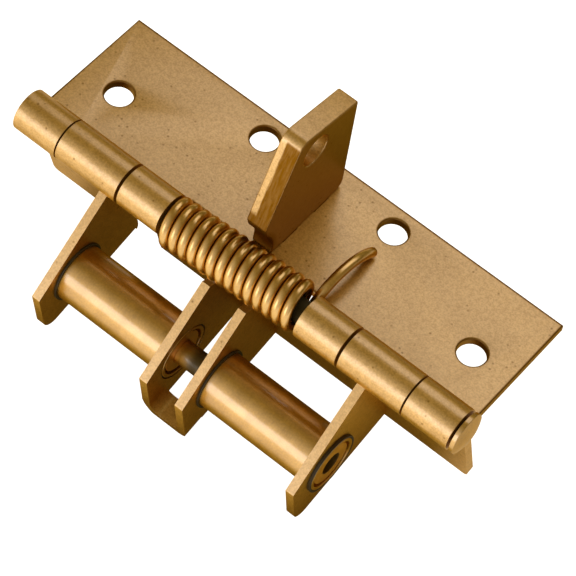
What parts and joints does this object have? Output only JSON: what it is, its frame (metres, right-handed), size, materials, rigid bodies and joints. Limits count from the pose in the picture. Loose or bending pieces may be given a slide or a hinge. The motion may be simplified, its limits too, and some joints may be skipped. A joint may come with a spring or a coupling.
{
  "type": "spring loaded door hinge",
  "caption": "Door hinge with a flat screw-down leaf, an upright stop lug and a spring-held carrier leaf whose ears hold rollers on a common rod.",
  "frame": {"origin": "middle of the outer pair of screw holes, on the frame leaf's back face", "axes": "+X along the hinge pin towards its head, +Y across the frame leaf away from the pin, +Z out of the frame leaf's front, the side the lug stands on"},
  "size_m": [0.103, 0.0506, 0.0594],
  "materials": {
    "gold_plate": "satin gold coat on folded steel sheet",
    "gold_turned": "satin gold coat on turned steel",
    "gold_wire": "satin gold coat on spring wire",
    "black_bush": "matt"
  },
  "bodies": {
    "frame": {"frame_leaf": "gold_plate", "stop_lug": "gold_plate", "hinge_pin": "gold_turned", "torsion_spring": "gold_wire"},
    "carrier": {"carrier_leaf": "gold_plate", "centre_channel": "gold_plate", "roller_rod": "gold_turned", "roller_bush_outer_left": "black_bush", "roller_bush_inner_left": "black_bush", "roller_bush_outer_right": "black_bush", "roller_bush_inner_right": "black_bush"},
    "roller_left": {"roller_tube_left": "gold_turned", "roller_plug_outer_left": "gold_turned", "roller_plug_inner_left": "gold_turned"},
    "roller_right": {"roller_tube_right": "gold_turned", "roller_plug_outer_right": "gold_turned", "roller_plug_inner_right": "gold_turned"}
  },
  "joints": [
    {"name": "carrier_swing", "type": "hinge", "parent": "frame", "child": "carrier", "pos_m": [0, -0.0153, 0.00425], "axis": [-1, 0, 0], "range_deg": [0, 120], "stiffness_Nm_per_rad": 0.42, "springref_deg": -44.98, "deforming": ["torsion_spring"]},
    {"name": "roller_left_spin", "type": "hinge", "parent": "carrier", "child": "roller_left", "pos_m": [-0.016, -0.02451, -0.01778], "axis": [1, 0, 0], "continuous": true},
    {"name": "roller_right_spin", "type": "hinge", "parent": "carrier", "child": "roller_right", "pos_m": [0.016, -0.02451, -0.01778], "axis": [1, 0, 0], "continuous": true}
  ]
}
